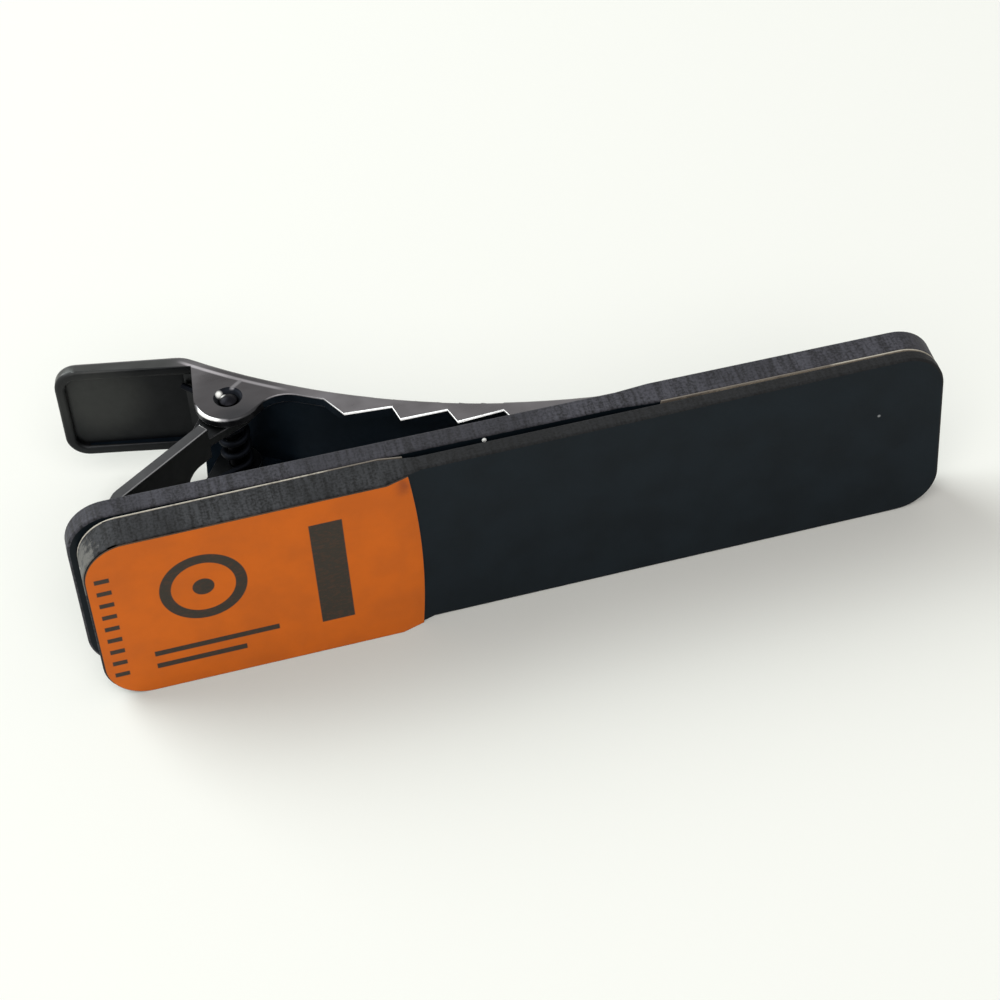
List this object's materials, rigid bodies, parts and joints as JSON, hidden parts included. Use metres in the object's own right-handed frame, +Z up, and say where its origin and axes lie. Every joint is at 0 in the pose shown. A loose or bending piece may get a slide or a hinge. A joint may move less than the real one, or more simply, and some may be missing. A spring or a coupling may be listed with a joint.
{
  "type": "tie clip",
  "caption": "Tie clip with a glued bar of two black record strips, a paper label, and a sprung toothed pinch clip on the back.",
  "frame": {"origin": "middle of the lower long edge of the front strip's groove area, half-way through its thickness", "axes": "+X along the bar, away from the front label; +Y from the front face towards the clip; +Z up the bar's width"},
  "size_m": [0.0505, 0.0188, 0.012],
  "materials": {
    "vinyl": "satin black vinyl, sawn edges",
    "front_paper": "uncoated orange label paper, printed",
    "inner_paper": "label paper, seen only as an edge",
    "glue": "cured clear glue",
    "black_nickel": "black nickel plate, soft shine",
    "pin_steel": "black nickel plate, worn bright on the dome",
    "spring_steel": "dark spring wire"
  },
  "bodies": {
    "bar": {"front_plate": "vinyl", "rear_plate": "vinyl", "front_label": "front_paper", "front_inner_label": "inner_paper", "rear_inner_label": "inner_paper", "plate_glue": "glue", "clip_glue": "glue", "clip_base": "black_nickel", "pivot_pin": "pin_steel", "return_spring": "spring_steel"},
    "jaw": {"toothed_jaw": "black_nickel"}
  },
  "joints": [
    {"name": "jaw_pivot", "type": "hinge", "parent": "bar", "child": "jaw", "pos_m": [-0.01461, 0.01157, 0.006], "axis": [0, 0, 1], "range_deg": [0, 35], "stiffness_Nm_per_rad": 0.05, "springref_deg": -40.11, "deforming": ["return_spring"]}
  ]
}
